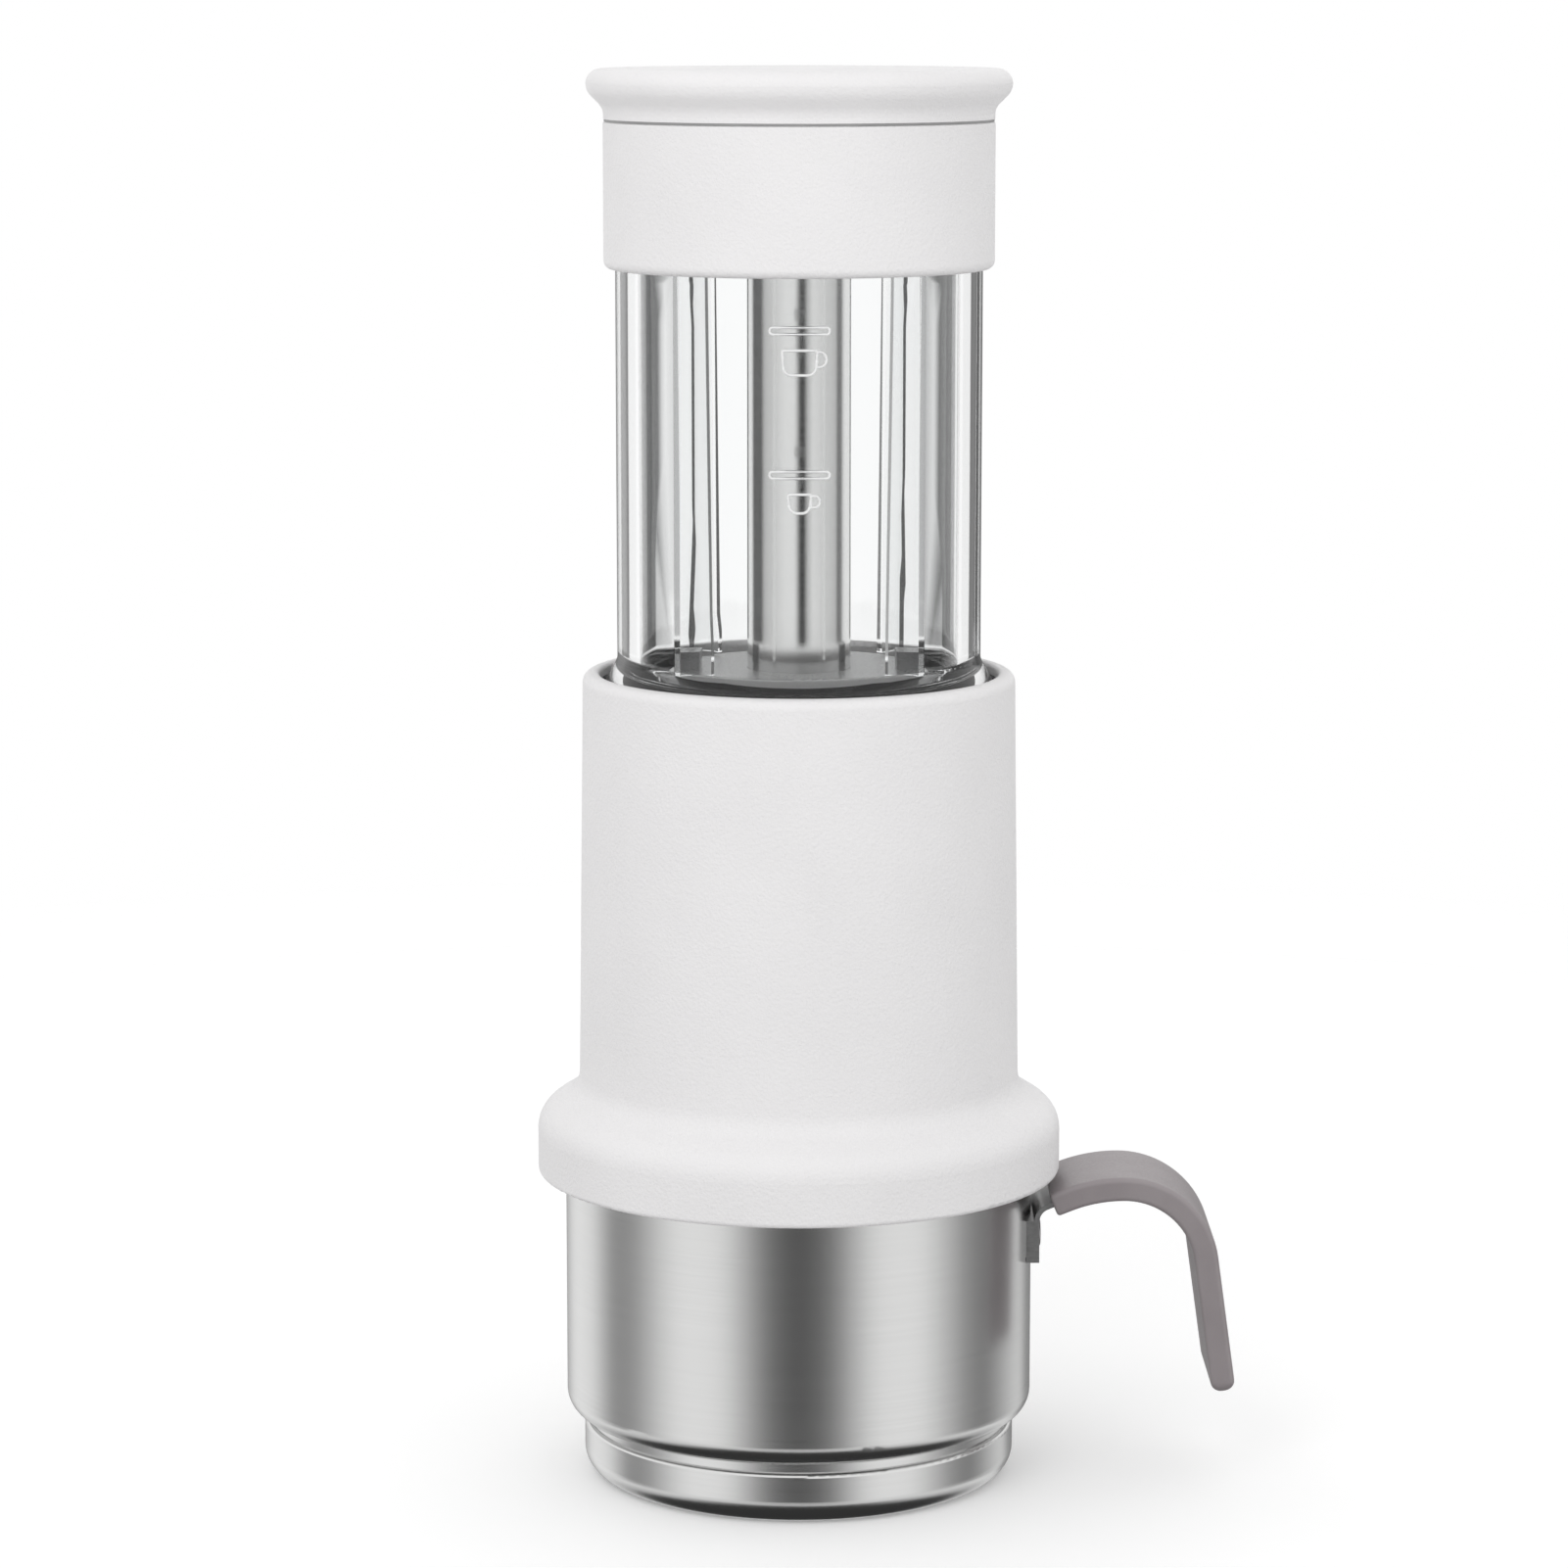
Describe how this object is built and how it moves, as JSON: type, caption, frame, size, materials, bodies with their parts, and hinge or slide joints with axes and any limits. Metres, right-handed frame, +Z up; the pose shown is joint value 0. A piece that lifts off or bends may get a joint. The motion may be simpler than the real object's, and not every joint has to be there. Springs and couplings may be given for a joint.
{
  "type": "portable capsule coffee maker",
  "caption": "Hand-pressed portable capsule coffee maker: clear water tank with pump telescoping in a white body that stands on a brushed steel cup with a silicone-sleeved handle.",
  "frame": {"origin": "centre of the cup's underside, on the machine's axis", "axes": "+Z up along the machine's axis, +X towards the handle, -Y towards the viewer of the level marks"},
  "size_m": [0.1136, 0.085, 0.228],
  "materials": {
    "white_plastic": "fine spark-eroded grain",
    "clear_plastic": "clear, polished",
    "cup_steel": "brushed round the axis",
    "satin_steel": "satin",
    "taupe_silicone": "matte silicone",
    "grey_plastic": "moulded, matte",
    "black_plastic": "moulded, matte",
    "black_rubber": "matte"
  },
  "bodies": {
    "cup": {"cup_shell": "cup_steel", "cup_liner": "cup_steel", "cup_base": "cup_steel", "handle_pad": "satin_steel", "handle_strap": "satin_steel", "handle_rivets": "satin_steel", "handle_sleeve": "taupe_silicone"},
    "machine": {"body_shell": "white_plastic", "well_liner": "black_plastic", "brew_deck": "black_plastic", "deck_screws": "satin_steel", "cup_seal": "black_rubber", "pump_column": "satin_steel", "valve_retainer": "grey_plastic", "valve_spring": "satin_steel", "piston": "grey_plastic", "piston_seal": "black_rubber", "capsule_chamber": "black_plastic", "chamber_screws": "satin_steel", "needle_plate": "satin_steel", "needle_gasket": "black_rubber"},
    "valve": {"valve_ball": "satin_steel"},
    "press_unit": {"tank": "clear_plastic", "guide_ring": "black_rubber", "barrel": "satin_steel", "barrel_flange": "grey_plastic", "floor_seal": "black_rubber", "barrel_nut": "grey_plastic", "gland_bush": "grey_plastic", "gland_seal": "black_rubber", "collar": "white_plastic", "collar_seal": "black_rubber"},
    "lid_ring": {"lid_seal": "black_rubber"},
    "lid": {"lid": "white_plastic", "lid_plug": "grey_plastic"},
    "cap_ring": {"cap_gasket": "black_rubber"},
    "cap": {"outlet_cap": "black_plastic", "outlet_plate": "satin_steel", "spout": "black_plastic"}
  },
  "joints": [
    {"name": "machine_lift", "type": "slide", "parent": "cup", "child": "machine", "axis": [0, 0, 1], "range_m": [0, 0.06]},
    {"name": "press_stroke", "type": "slide", "parent": "machine", "child": "press_unit", "axis": [0, 0, 1], "range_m": [-0.0502, 0]},
    {"name": "lid_turn", "type": "hinge", "parent": "lid_ring", "child": "lid", "pos_m": [0, 0, 0.2197], "axis": [0, 0, 1], "range_deg": [0, 90]},
    {"name": "lid_rise", "type": "slide", "parent": "press_unit", "child": "lid_ring", "axis": [0, 0, 1], "range_m": [0, 0.00705]},
    {"name": "cap_turn", "type": "hinge", "parent": "cap_ring", "child": "cap", "pos_m": [0, 0, 0.0332], "axis": [0, 0, 1], "range_deg": [-90, 0]},
    {"name": "cap_drop", "type": "slide", "parent": "machine", "child": "cap_ring", "axis": [0, 0, 1], "range_m": [-0.00705, 0]},
    {"name": "valve_open", "type": "slide", "parent": "machine", "child": "valve", "axis": [0, 0, 1], "range_m": [-0.0012, 0], "stiffness_N_per_m": 1500, "springref_m": 0.0014, "deforming": ["valve_spring"]}
  ],
  "couplings": [
    {"joint": "lid_rise", "follows": "lid_turn", "m_per_rad": 0.0044563},
    {"joint": "cap_drop", "follows": "cap_turn", "m_per_rad": 0.0044563}
  ]
}
